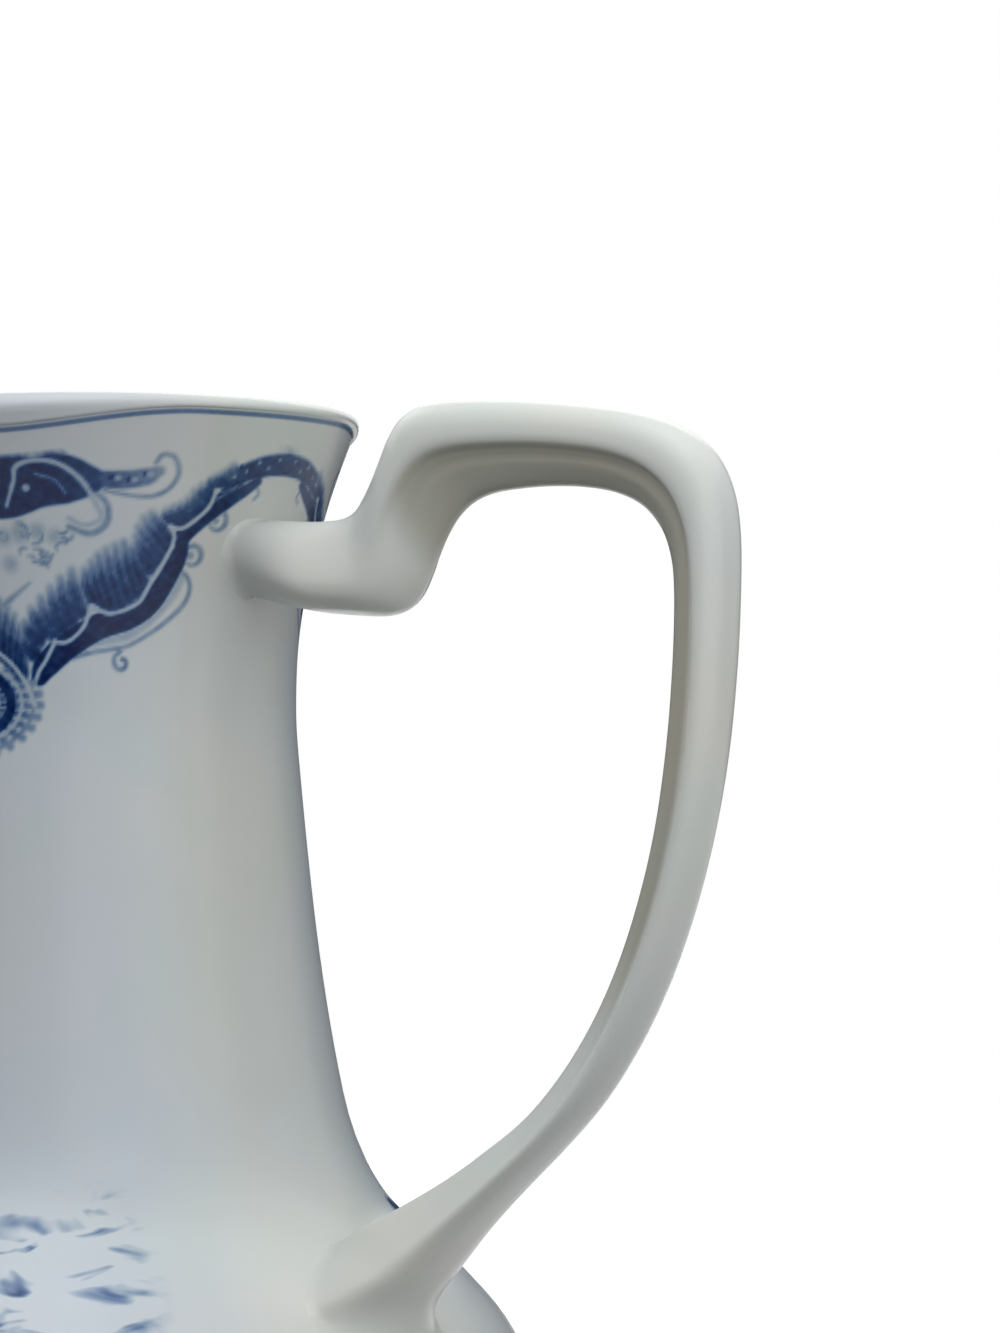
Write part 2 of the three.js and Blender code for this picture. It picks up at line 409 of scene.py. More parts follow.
# %% Handle template
handle_template = smooth_line(
    [
        # outer reach, level, inner reach, level, width, form, fillet
        (42, 254.6, 40, 240.8, 15.0, 0, 1.5),
        (50, 255.8, 48, 239.6, 15.6, 0, 1.5),
        (58, 255.4, 57, 237.6, 16.4, 0.4, 1),
        (66, 255.0, 67, 236.0, 17.2, 0.9, 0.4),
        (72.6, 255.3, 76.5, 235.1, 17.6, 1, 0),
        (76.8, 257.0, 85.0, 234.8, 17.6, 1, 0),
        (79.8, 260.4, 90.6, 236.6, 17.4, 1.15, 0),
        (82.8, 264.6, 94.6, 241.0, 17.2, 1.4, 0),
        (85.6, 268.7, 97.6, 246.2, 16.8, 1.65, 0),
        (88.4, 272.8, 100.6, 250.9, 16.4, 1.85, 0),
        (91.8, 276.0, 103.9, 254.6, 16.0, 1.95, 0),
        (97.2, 277.7, 108.0, 257.2, 15.6, 2, 0),
        (105.5, 278.0, 113.2, 258.7, 15.2, 2, 0),
        (115.5, 277.5, 120.0, 259.3, 14.8, 2, 0),
        (127, 276.5, 128.6, 259.4, 14.6, 2, 0),
        (139, 275.0, 137.2, 258.8, 14.4, 2, 0),
        (150.5, 273.0, 145.4, 257.3, 14.2, 2, 0),
        (160.4, 269.8, 152.2, 254.4, 13.9, 2.05, 0),
        (167.8, 264.6, 156.9, 249.8, 13.6, 2.15, 0),
        (171.8, 257.6, 159.3, 244.4, 13.3, 2.3, 0),
        (173.3, 248.8, 160.2, 238.4, 13.0, 2.5, 0),
        (173.2, 236.0, 160.2, 229.0, 12.7, 2.75, 0),
        (172.2, 221.0, 159.5, 217.6, 12.3, 3, 0),
        (170.2, 205.0, 157.9, 204.4, 11.9, 3, 0),
        (166.8, 189.6, 155.4, 191.2, 11.6, 3, 0),
        (162.0, 174.8, 151.6, 178.2, 11.5, 3, 0),
        (155.8, 161.0, 146.4, 165.8, 11.5, 3.2, 0),
        (148.0, 148.2, 139.8, 154.2, 11.6, 3.45, 0),
        (138.6, 136.6, 131.8, 143.6, 12.0, 3.7, 0),
        (127.8, 126.8, 122.4, 134.2, 12.8, 3.9, 0),
        (117.2, 118.0, 111.4, 126.6, 14.4, 4, 0),
        (108.9, 110.8, 99.6, 119.6, 16.6, 4, 0.4),
        (103.2, 105.2, 86.0, 112.8, 19.0, 4, 0.8),
        (98.8, 100.6, 74.0, 107.2, 22.0, 4.05, 0.8),
        (95.6, 96.6, 66.0, 101.6, 27.5, 4.3, 1),
        (93.4, 92.8, 66.0, 95.6, 34.5, 4.7, 1.2),
        (92.6, 88.8, 72.0, 90.4, 38.5, 5, 1.5),
        (93.0, 84.2, 79.0, 85.0, 39.0, 5, 1.5),
        (94.6, 79.2, 85.5, 79.4, 36.0, 5, 1.5),
        (96.2, 74.4, 90.0, 74.4, 28.0, 5, 1.2),
        (97.4, 71.0, 93.4, 70.8, 14.0, 5, 1),
    ],
    steps=6,
)
print("handle template of", len(handle_template), "sections")

# %% [markdown]
# ## The handle's section
# The section changes along the handle. At its root on the neck it is a bar that is widest above its
# middle, and a little further out one that is widest below it. On the riser and the top it is a deep
# dome on a narrower stem, with a groove under the dome's edge and a soft bead along the stem. Down the
# sweep the dome is shallower and the stem longer. Above the shoulder it becomes a wedge, and at its end
# a flat leaf that lies on the vessel. Half of each section is a smooth line of (depth, half width),
# depth 1 being the outer edge and -1 the inner edge, and the other half mirrors it. A form of 1.4, say,
# is a mix of forms 1 and 2.

# %% Handle section
RING_HALF = 30
half_forms = [
    # 0, the root on the neck, widest above its middle
    [(1, 0), (0.97, 0.3), (0.88, 0.6), (0.7, 0.84), (0.45, 0.97), (0.2, 1), (-0.05, 0.95), (-0.3, 0.82)]
    + [(-0.55, 0.62), (-0.78, 0.4), (-0.93, 0.2), (-1, 0.08), (-1, 0)],
    # 1, a bar that is widest below its middle
    [(1, 0), (0.97, 0.16), (0.85, 0.34), (0.65, 0.52), (0.4, 0.68), (0.1, 0.83), (-0.2, 0.95), (-0.42, 1)]
    + [(-0.6, 0.96), (-0.76, 0.82), (-0.88, 0.6), (-0.97, 0.3), (-1, 0.1), (-1, 0)],
    # 2, a deep dome on a narrower stem
    [(1, 0), (0.985, 0.28), (0.91, 0.54), (0.75, 0.77), (0.52, 0.92), (0.28, 0.99), (0.1, 1), (-0.02, 0.95)]
    + [(-0.08, 0.83), (-0.13, 0.7), (-0.24, 0.66), (-0.38, 0.68), (-0.52, 0.6), (-0.74, 0.42), (-0.92, 0.25)]
    + [(-1, 0.1), (-1, 0)],
    # 3, a shallow dome on a long stem
    [(1, 0), (0.985, 0.3), (0.92, 0.58), (0.8, 0.8), (0.62, 0.95), (0.44, 1), (0.3, 0.97), (0.22, 0.88)]
    + [(0.17, 0.75), (0.06, 0.69), (-0.12, 0.69), (-0.3, 0.66), (-0.52, 0.58), (-0.76, 0.46), (-0.93, 0.32)]
    + [(-1, 0.15), (-1, 0)],
    # 4, a wedge
    [(1, 0), (0.995, 0.3), (0.96, 0.6), (0.88, 0.84), (0.74, 0.98), (0.6, 1), (0.44, 0.93), (0.2, 0.79)]
    + [(-0.1, 0.62), (-0.4, 0.44), (-0.7, 0.26), (-0.9, 0.13), (-1, 0.05), (-1, 0)],
    # 5, a leaf
    [(1, 0), (0.97, 0.16), (0.88, 0.32), (0.72, 0.5), (0.5, 0.67), (0.25, 0.82), (0, 0.93), (-0.3, 1)]
    + [(-0.6, 1), (-0.85, 0.98), (-0.98, 0.8), (-1, 0.4), (-1, 0)],
]


def even_points(line, count):
    """So many evenly spaced points along a line, without its last one."""
    run = np.concatenate([[0], np.cumsum(np.hypot(*np.diff(line, axis=0).T))])
    wanted = np.linspace(0, run[-1], count, endpoint=False)
    return np.stack([np.interp(wanted, run, column) for column in line.T], axis=1)


def full_section(half):
    """A closed section from its half: down the near flank and back up the far one."""
    line = smooth_line(half, 8)
    near = even_points(line, RING_HALF)
    far = even_points(line[::-1] * (1, -1), RING_HALF)
    return np.vstack([near, far])


sections = np.array([full_section(half) for half in half_forms])


def mixed_section(form):
    """The section of a form, mixed from the two nearest ones."""
    low = min(int(form), len(sections) - 2)
    return sections[low] * (1 - (form - low)) + sections[low + 1] * (form - low)


print("section of", sections.shape[1], "points")

# %% [markdown]
# ## Meeting the vessel
# Where the handle meets the vessel, slip was smoothed round the joint, so the surfaces flow together in a
# fillet. Each handle point near the vessel is pushed sideways along the vessel's surface, more the nearer
# it is, along a quarter circle. What lies inside the wall is lifted to just under the glaze, so nothing
# of the handle shows inside the pot. A layer also notes where shade is painted on the handle's groove and
# stem.

# %% Fillet to the vessel
SUNK = 0.35
LEAST_FILLET = 0.01


def vessel_gap(points):
    """Distance of points (x, y, z in mm from the axis) from the vessel's outer surface, and its normals."""
    across = np.hypot(points[:, 0], points[:, 1])
    slope = slope_at(points[:, 2])
    length = np.hypot(1, slope)
    normals = np.stack(
        [points[:, 0] / across / length, points[:, 1] / across / length, -slope / length], axis=1
    )
    return (across - radius_at(points[:, 2])) / length, normals


def meet_vessel(points, outward, fillet):
    """Moves a ring's points so that it flows into the vessel's surface with a fillet."""
    gap, normals = vessel_gap(points)
    if fillet > LEAST_FILLET:
        sideways = outward - normals * np.sum(outward * normals, axis=1, keepdims=True)
        nearness = np.clip(1 - gap / fillet, 0, 1)
        push = fillet * (1 - np.sqrt(1 - nearness**2))
        points = points + sideways * push[:, None]
        gap, normals = vessel_gap(points)
    lift = np.maximum(-SUNK - gap, 0)
    return points + normals * lift[:, None]


def handle_ring(row):
    """The points of one section of the handle, in mm from the vessel's axis."""
    outer, inner = row[0:2], row[2:4]
    width, form, fillet = row[4:7]
    middle = (outer + inner) / 2
    deep = (outer - inner) / 2
    section = mixed_section(form)
    plane = middle + section[:, :1] * deep
    side = -section[:, 1] * width / 2
    angle = side / np.maximum(plane[:, 0], 1)
    points = np.stack([plane[:, 0] * np.cos(angle), plane[:, 0] * np.sin(angle), plane[:, 1]], axis=1)
    along = np.roll(points, -1, axis=0) - np.roll(points, 1, axis=0)
    forward = np.cross(points[0] - points[RING_HALF], (0, 1, 0))
    outward = np.cross(along, forward)
    outward /= np.linalg.norm(outward, axis=1, keepdims=True)
    if np.sum(outward[0] * (points[0] - points[RING_HALF])) < 0:
        outward = -outward
    return meet_vessel(points, outward, fillet)


# %% Extrude the handle ring by ring
# Painted shade: the groove under the dome and the stem are painted darker, as if the dome shaded them.
GROOVE_BEGINS, GROOVE_ENDS = (1.4, 1.9), (3.0, 3.7)
STEM_SHADE_EDGE = (-0.12, 0.12)


def painted_stem_shade(row):
    """How much painted shade the points of one section take: the groove and the stem are painted darker."""
    form = row[5]
    depth = mixed_section(form)[:, 0]
    grooved = smoothstep(*GROOVE_BEGINS, form) * (1 - smoothstep(*GROOVE_ENDS, form))
    return grooved * (1 - smoothstep(*STEM_SHADE_EDGE, depth))


handle_bm = bmesh.new()
stem_shade_layer = handle_bm.verts.layers.float.new("glaze_pool_and_stem_shade")


def set_ring(verts, row):
    """Puts a ring's vertices on the section of a template row, with how much painted shade they take."""
    for vertex, point, glaze_pool_and_stem_shade in zip(verts, handle_ring(row), painted_stem_shade(row)):
        vertex.co = AXIS + Vector(point) * MM
        vertex[stem_shade_layer] = glaze_pool_and_stem_shade


ring = bmesh.ops.create_circle(handle_bm, cap_ends=False, segments=2 * RING_HALF, radius=MM)["verts"]
set_ring(ring, handle_template[0])
first_edges = list({edge for vertex in ring for edge in vertex.link_edges})
edges = first_edges
for row in handle_template[1:]:
    made = bmesh.ops.extrude_edge_only(handle_bm, edges=edges)["geom"]
    new_edges = [item for item in made if isinstance(item, bmesh.types.BMEdge)]
    new_verts = {item for item in made if isinstance(item, bmesh.types.BMVert)}
    following = []
    for vertex in ring:
        neighbours = [edge.other_vert(vertex) for edge in vertex.link_edges]
        following.append(next(other for other in neighbours if other in new_verts))
    set_ring(following, row)
    ring = following
    edges = [edge for edge in new_edges if edge.verts[0] in new_verts and edge.verts[1] in new_verts]
bmesh.ops.holes_fill(handle_bm, edges=first_edges + edges, sides=0)
caps = [face for face in handle_bm.faces if len(face.verts) > 4]
bmesh.ops.poke(handle_bm, faces=caps)
bmesh.ops.recalc_face_normals(handle_bm, faces=handle_bm.faces)
handle = make_piece(handle_bm, "handle_skin", "handle")
softening = handle.modifiers.new("softening", "SUBSURF")
softening.levels = 1
softening.render_levels = 1

# %% [markdown]
# ## Painting with a soft brush
# The blue border was engraved, printed on paper and laid on the pot under the glaze, where its edges ran
# a little. A brush that paints on the mesh's vertices gives the same soft edge. A stroke is a smooth line
# with a half width and a tone along it. Plain strokes add ink, and pale ones take it away again.

# %% Vertices that take ink
BORDER_TURN = 5
MM_PER_DEGREE = 0.8
INK_LOW, INK_HIGH = BORDER_LOW - 2, BORDER_HIGH + 4


def vertex_places(piece):
    """The places of a piece's vertices, in mm from the vessel's axis."""
    places = np.empty(len(piece.data.vertices) * 3)
    piece.data.vertices.foreach_get("co", places)
    return (places.reshape(-1, 3) - np.array(AXIS)) / MM


mesh_points = vertex_places(body)
turned = np.degrees(np.arctan2(mesh_points[:, 1], mesh_points[:, 0]))
mesh_rows = np.empty(len(mesh_points))
body.data.attributes["row"].data.foreach_get("value", mesh_rows)
outside = (mesh_rows >= first_outer) & (mesh_rows < profile_kinds.index("lip"))
border_span = (mesh_points[:, 2] > INK_LOW) & (mesh_points[:, 2] < INK_HIGH)
inked = np.flatnonzero(outside & border_span)
from_middle = np.abs((turned[inked] - BORDER_TURN + 180) % 360 - 180)
unit_degrees = 90 - np.abs(from_middle - 90)
canvas = np.stack([unit_degrees * MM_PER_DEGREE, mesh_points[inked, 2]], axis=1)
ink = np.zeros(len(canvas))
print(len(inked), "vertices take the border")


# %% The brush
def profile_along(values, count):
    """Spreads a few values evenly along so many points."""
    values = np.atleast_1d(np.asarray(values, float))
    return np.interp(np.linspace(0, 1, count), np.linspace(0, 1, len(values)), values)


def stroke(points, half_width, tone, reserve=False, soft=0.5, steps=6):
    """Paints a smooth line through points given as (degrees from the border's middle, level)."""
    line = smooth_line(points, steps) * (MM_PER_DEGREE, 1)
    widths = profile_along(half_width, len(line))
    tones = profile_along(tone, len(line))
    reach = widths.max() + 2 * soft
    near = np.flatnonzero(np.all((canvas > line.min(0) - reach) & (canvas < line.max(0) + reach), axis=1))
    if len(near) == 0:
        return
    start, run = line[:-1], np.diff(line, axis=0)
    away = canvas[near, None] - start
    share = np.clip(np.sum(away * run, axis=2) / np.maximum(np.sum(run * run, axis=1), 1e-9), 0, 1)
    distance = np.linalg.norm(away - share[:, :, None] * run, axis=2)
    edge = distance - (widths[:-1] + share * np.diff(widths))
    best = np.argmin(edge, axis=1)
    pick = np.arange(len(near))
    cover = 1 - smoothstep(-soft, soft, edge[pick, best])
    value = (tones[:-1] + share * np.diff(tones))[pick, best]
    if reserve:
        ink[near] = ink[near] * (1 - cover) + value * cover
    else:
        ink[near] = np.maximum(ink[near], cover * value)


print("three widths spread along a line:", profile_along([1, 3, 2], 5))

# %% [markdown]
# ## The printed border
# The border is a festoon of the old rococo kind: a dark swag that rises from a shell boss at each side
# to a peak over the handle and over the spout, with fluted lobes along its upper edge, a scroll with a
# curled tail above and thin pale scrolls below. A quarter of the border is drawn, from its middle (0
# degrees) to the boss (90 degrees), and the canvas folds it round the pot.

# %% Swag
swag = [(66, 222.5), (64.2, 224.9), (57.7, 229.2), (49.4, 233), (41.3, 235), (35.7, 237.9), (31.5, 242.7)]
swag += [(28.8, 247.5), (28, 251.8), (22.9, 255.7), (17, 259.2), (12.1, 261.8), (8.4, 263.9)]
stroke(swag, [1.9, 2.8, 2.9, 2.7, 2.5, 2.3, 2.1, 2, 1.8, 1.6, 1.3, 1], [0.9, 1, 1, 1, 1, 0.95, 0.9, 0.8])
scallops = [
    [(67.6, 220.6), (66.2, 223.6), (64.2, 225.9), (61.5, 229.9)],
    [(61.5, 229.9), (58.6, 229.7), (55.7, 231.1), (53.2, 233.4), (51.3, 237.3)],
    [(51.3, 237.3), (46.3, 235.7), (38.9, 237.9), (35.9, 241.7), (33, 245.6), (30.3, 249.9)],
    [(30.3, 249.9), (30.1, 252), (31.3, 253.8)],
    [(31.3, 253.8), (27.7, 253.7), (21.9, 257.7), (20.1, 261.5)],
    [(20.1, 261.5), (16.4, 262.2), (12.9, 264.6)],
]


# %% Fluted lobes
WASH_WIDTHS, WASH_TONES = [1.9, 1.8, 1], [0.84, 0.7, 0.36]
RIB_WIDTHS, RIB_TONES = [0.75, 0.8, 0.4], np.array([1, 0.86, 0.45])


def fan(bases, tips, ribs, dark=1.0):
    """Paints a lobe: ribs from a base line to a tip line, dark at the base, over a paler wash."""
    roots = even_points(smooth_line(bases, 8), ribs + 1)
    ends = even_points(smooth_line(tips, 8), ribs + 1)
    for root, end in zip(roots, ends):
        middle = (root + end) / 2 + (0.5, 0)
        stroke([root, middle, end], WASH_WIDTHS, WASH_TONES, soft=0.9)
        stroke([root, middle, end], RIB_WIDTHS, RIB_TONES * dark, soft=0.6)


def pale_line(points, half_width, tone, soft=0.4):
    """Leaves a line of a paler tone in the ink."""
    stroke(points, half_width, tone, reserve=True, soft=soft)


fan([(67.5, 227.5), (65.3, 231.8), (61.5, 231.6), (57.6, 234), (54.4, 236.4), (52.4, 238)],
    [(72, 231), (68.5, 236), (64.4, 239.3), (60.5, 242.1), (56.7, 244.5), (53.4, 243)], 6, 0.9)
fan([(50.6, 238.4), (46.3, 237.5), (42.6, 238.5), (39, 240.9), (36.6, 243.6)],
    [(53, 244.6), (48.9, 248), (45.3, 249.6), (41.8, 250.3), (39.8, 247.6)], 6)
fan([(36.2, 245.4), (33.2, 247.6), (31.5, 250), (31.9, 253)],
    [(40.2, 249.4), (39.6, 253), (37.6, 255.8), (34.2, 256.6)], 4, 0.95)
fan([(30, 254.9), (24.9, 256.4), (22, 258.5), (20.8, 261.5)],
    [(32.6, 256.9), (28.2, 258.8), (25.5, 261.2), (22.4, 263.2)], 5, 0.85)
fan([(19.6, 261.8), (16.6, 262.6), (13.4, 264.8)], [(21.4, 263.8), (18, 265.6), (15.6, 267.4)], 4, 0.75)
for line in scallops:
    pale_line(line, 0.5, 0.2)
print("ink so far covers", int((ink > 0.3).sum()), "vertices")


# %% Peak of the festoon
def dot(place, radius, tone, reserve=False, soft=0.5):
    """Paints a round dot."""
    stroke([place, (place[0] + 0.01, place[1])], radius, tone, reserve, soft, steps=1)


def pale_dot(place, radius, tone, soft=0.4):
    """Leaves a round dot of a paler tone in the ink."""
    dot(place, radius, tone, reserve=True, soft=soft)


peak = [(18, 261.4), (14, 264.8), (9, 266.6), (4, 267.6), (0, 268)]
stroke(peak, [1, 1.9, 2.2, 2.2, 2.2], [0.72, 0.84, 0.86, 0.82], soft=0.7)
stroke([(15.6, 263), (11, 264.6), (6, 265.6), (0, 266)], 0.5, 0.95)
for place in [(14.2, 266.6), (11.2, 267.2), (7.6, 267), (4.4, 268.2), (1.6, 267.4)]:
    dot(place, 0.6, 0.95, soft=0.45)
for place in [(15.8, 264.6), (12.6, 265.8), (9.2, 267.8), (6, 266.8), (2.9, 268.6)]:
    pale_dot(place, 0.4, 0.32, soft=0.35)
stroke([(12, 262.4), (9, 262.8), (7.4, 261.4), (8.6, 260.2)], 0.4, 0.35, soft=0.4)

# %% Scroll with a curled tail
stroke(
    [(90, 262), (80, 262), (72, 261.8), (65, 262.9), (58, 263.3), (53, 263), (49, 263.2), (43.6, 263.2)]
    + [(38.2, 263.9), (35, 265.2)],
    [6.6, 6.6, 6.3, 5.5, 5, 3.4, 1.7, 1.9, 1.8, 1],
    [0.95, 0.98, 1, 1, 0.95, 0.85, 0.72, 0.62, 0.5, 0.36],
    soft=0.6,
)
pale_scroll = [(72.4, 258), (70, 262.9), (69, 265.9), (64.3, 267.2), (58.5, 266.3), (53.3, 262.8)]
pale_scroll += [(50, 258.1), (48.9, 255.3), (52.9, 253.9), (56.9, 255.3)]
pale_line(pale_scroll, [0.45, 0.55, 0.6, 0.6, 0.6, 0.55, 0.5], 0.24, soft=0.45)
pale_line([(75, 266.8), (74.6, 262), (78, 257.6), (84, 256.4), (90, 257.6)], 0.5, 0.3, soft=0.45)
pale_line([(90, 265.6), (84, 265.4), (80.4, 262.4), (83, 259.6), (87, 260.6)], 0.5, 0.32, soft=0.45)
pale_dot((67, 261.6), 0.85, 0.3)
pale_line([(64.4, 264.4), (60, 263.2), (57.4, 260.4)], 0.35, 0.5)
stroke([(51.6, 261.4), (47.6, 258.4), (47.6, 254.4), (51.6, 252.2), (57, 253.6)], [0.5, 0.8, 0.6], 0.4)
curled_tail = [(48.2, 261), (43, 260.2), (37, 259.9), (32.6, 261.6), (30.5, 264.8), (32, 268)]
curled_tail += [(34.8, 268.4), (36.2, 266.8)]
stroke(curled_tail, [0.4, 0.55, 0.55, 0.5], 0.4, soft=0.45)
for place in [(45, 263.6), (41, 263.2), (37.2, 264.4)]:
    pale_dot(place, 0.6, 0.3)
    dot((place[0] + 1.6, place[1]), 0.6, 0.85, soft=0.4)

# %% Foam under the scroll
FOAM_STROKES = 18
foam = np.random.default_rng(7)
bubbles = [((74, 251.6), 1.7), ((69.6, 252.4), 2), ((65, 252.6), 1.7), ((60.6, 251.6), 1.5)]
for place, size in [*bubbles, ((73, 246), 1.6)]:
    dot(place, size, 0.27, soft=1.3)
for number in range(FOAM_STROKES):
    middle = foam.uniform((58, 243 + 0.35 * number), (77, 254))
    size, start, sweep = foam.uniform((0.8, 0, 1.6), (2, math.tau, 3.4))
    turns = start + sweep * np.linspace(0, 1, 5)
    across = middle[0] + size * np.cos(turns) / MM_PER_DEGREE
    arc = np.stack([across, middle[1] + 0.8 * size * np.sin(turns)], axis=1)
    stroke(arc, [0.25, 0.5, 0.25], foam.uniform(0.32, 0.5))
stroke([(84, 233.5), (77.3, 236.8), (72.9, 239.3), (68, 242.1)], [0.5, 0.8, 0.3], 0.36, soft=0.6)
stroke([(90, 250.6), (85.6, 252.4), (81, 250.6), (79.6, 247)], [0.5, 0.8, 0.3], 0.45)
stroke([(90, 244.4), (86, 246.4), (82, 245)], [0.5, 0.8, 0.3], 0.45)

# %% Thin scrolls under the swag
under_scroll = [(60.3, 225.4), (55, 226.9), (50, 227.8), (42.4, 228.8), (37.3, 230.7), (30.9, 234.1)]
under_scroll += [(25.8, 238), (24.5, 241.6), (26.4, 244.2), (28.5, 244.2)]
under_tones = [0.45, 0.42, 0.4, 0.4, 0.42, 0.45, 0.45]
stroke(under_scroll, [0.4, 0.6, 0.55, 0.5, 0.55, 0.6, 0.55, 0.5, 0.4], under_tones, soft=0.45)
stroke([(60, 227.4), (51, 229.6), (42, 231), (36, 234), (30, 239), (27, 243.6)], 1, 0.26, soft=0.7)
curl = []
for step in range(8):
    turn = 1.4 - 0.85 * step
    curl.append((43 + (2.7 - 0.3 * step) * math.cos(turn), 225.6 + (2.4 - 0.26 * step) * math.sin(turn)))
stroke([(46, 228.4), *curl], [0.45, 0.6, 0.5], [0.42, 0.45, 0.6], soft=0.45)
for place, start in [((24.6, 248), 2.2), ((18.6, 255.4), 1.9)]:
    turns = start - np.linspace(0, 4.4, 9)
    line = np.stack([place[0] - 2.5 * np.cos(turns), place[1] + 2 * np.sin(turns)], axis=1)
    stroke(line, [0.6, 0.7, 0.35], 0.42)
    dot((place[0] + 0.6, place[1]), 0.9, 0.36, soft=0.6)

# %% Shell boss at the side
BOSS = (90, 217)
BOSS_SIZE = (25, 12)
BOSS_START = -1.57
BOSS_RIBS = 12


def boss_arc(size, first, last, count=11):
    """Points of an arc round the boss, as a share of its size, between two angles."""
    turns = np.linspace(first, last, count)
    wide, tall = BOSS_SIZE[0] * size, BOSS_SIZE[1] * size
    return [(BOSS[0] - wide * math.cos(turn), BOSS[1] + tall * math.sin(turn)) for turn in turns]


stroke(boss_arc(0.86, BOSS_START, 0.75), 1.3, 0.45, soft=0.7)
stroke(boss_arc(0.62, BOSS_START, 1.1), 1.3, 0.9)
stroke(boss_arc(0.3, BOSS_START, 1.5), 2.3, 0.95, soft=0.6)
for share in np.linspace(0, 1, BOSS_RIBS):
    turn = -1.5 + 2.3 * share
    inner, middle, outer = (boss_arc(size, turn, turn, 1)[0] for size in (0.44, 0.7, 0.97))
    stroke([inner, middle, outer], [0.5, 0.8, 1], [0.8, 0.66, 0.42], soft=0.65)
    pale_dot(boss_arc(0.85, turn + 0.1, turn + 0.1, 1)[0], 0.5, 0.2)
pale_line(boss_arc(0.75, BOSS_START, 0.9), 0.45, 0.25)
pale_line(boss_arc(0.46, BOSS_START, 1.3), 0.45, 0.3)
pale_dot(BOSS, 1.1, 0.35, soft=0.5)
fan([(90, 229), (84, 229.4), (78, 228), (73.4, 225), (70, 221.4)],
    [(90, 240), (83.5, 240), (76.8, 238), (72.2, 234), (69.4, 228.6)], 9)
boss_edge = [(90, 228.6), (84, 228.8), (78, 227.4), (73.2, 224.4), (69.4, 220.4), (67.4, 216.6)]
pale_line(boss_edge, 0.5, 0.2)
print("the whole border covers", int((ink > 0.3).sum()), "vertices")

# %% [markdown]
# ## From strokes to colour values
# Ink never lies quite evenly, so a slow change in strength breaks up the flat tones. The values go to the
# mesh as a point attribute, which the vessel's material reads as the depth of blue. The thin line of blue
# under the lip is added there too. Three more attributes say where a point would lie if the wall were
# unrolled flat, where painted water lies low on the belly, and how near the handle's joints are.

# %% Write the ink
LIP_LINE = 0.85
LIP_INK = 0.55
BLOTCHINESS = 0.07


def write_attribute(piece, name, values):
    """Writes a value or a vector for each vertex of a piece, as a point attribute."""
    values = np.asarray(values, np.float32)
    kind, field = ("FLOAT", "value") if values.ndim == 1 else ("FLOAT_VECTOR", "vector")
    attribute = piece.data.attributes.new(name, kind, "POINT")
    attribute.data.foreach_set(field, values.ravel())


across, up_wall = canvas.T
blotches = np.sin(across * 1.7 + 1.3 * np.sin(up_wall * 1.1)) * np.sin(up_wall * 1.9)
blotches += np.sin(across * 0.61 - up_wall * 0.83) * np.sin(up_wall * 0.57 + 1)
whole_ink = np.zeros(len(mesh_points))
whole_ink[inked] = np.clip(ink * (1 - BLOTCHINESS * blotches), 0, 1)
line_level = HEIGHT - lip_height(np.radians(turned)) - LIP_LINE
spouted = np.exp(-((np.pi - np.abs(np.radians(turned))) / SPOUT_HALF_ANGLE) ** 2)
line_level += spouted * smoothstep(HEIGHT - SPOUT_DEPTH, HEIGHT, line_level) ** 2 * SPOUT_RISE
lip_ink = LIP_INK * (1 - smoothstep(0.2, 0.8, np.abs(mesh_points[:, 2] - line_level)))
whole_ink = np.maximum(whole_ink, np.where(outside, lip_ink, 0))
write_attribute(body, "ink", whole_ink)
print("inked vertices:", int((whole_ink > 0.2).sum()))

# %% Mark the water on the belly
# where it fades in or out, in degrees from the handle and in mm above the table
NEAR_TURN, NEAR_LEVEL = (33, 41), (58, 66)
FAR_TURN, FAR_LEVEL = (30, 38), (97, 102)
LAST_TURN, TOP_LEVEL = (118, 130), (109, 119)
UNROLL_RADIUS = 80
water_level = mesh_points[:, 2]
unrolled = [np.radians(turned) * UNROLL_RADIUS, water_level, np.zeros(len(turned))]
write_attribute(body, "unrolled", np.stack(unrolled, axis=1))
near_water = smoothstep(*NEAR_TURN, -turned) * smoothstep(*NEAR_LEVEL, water_level)
far_water = smoothstep(*FAR_TURN, turned) * smoothstep(*FAR_LEVEL, water_level)
water = np.maximum(near_water, far_water) * (1 - smoothstep(*LAST_TURN, np.abs(turned)))
water *= 1 - smoothstep(*TOP_LEVEL, water_level)
write_attribute(body, "water", np.where(outside, water, 0))
print("vertices under water strokes:", int((water[outside] > 0.5).sum()))

# %% Mark where the handle joins
JOINT_TURN = (10, 42)
JOINT_GAP = (3, 24)
write_attribute(body, "joint", 1 - smoothstep(*JOINT_TURN, np.abs(turned)))
handle_gap = vessel_gap(vertex_places(handle))[0]
write_attribute(handle, "joint", 1 - smoothstep(*JOINT_GAP, handle_gap))
print("handle vertices near the vessel:", int((handle_gap < JOINT_GAP[0]).sum()))
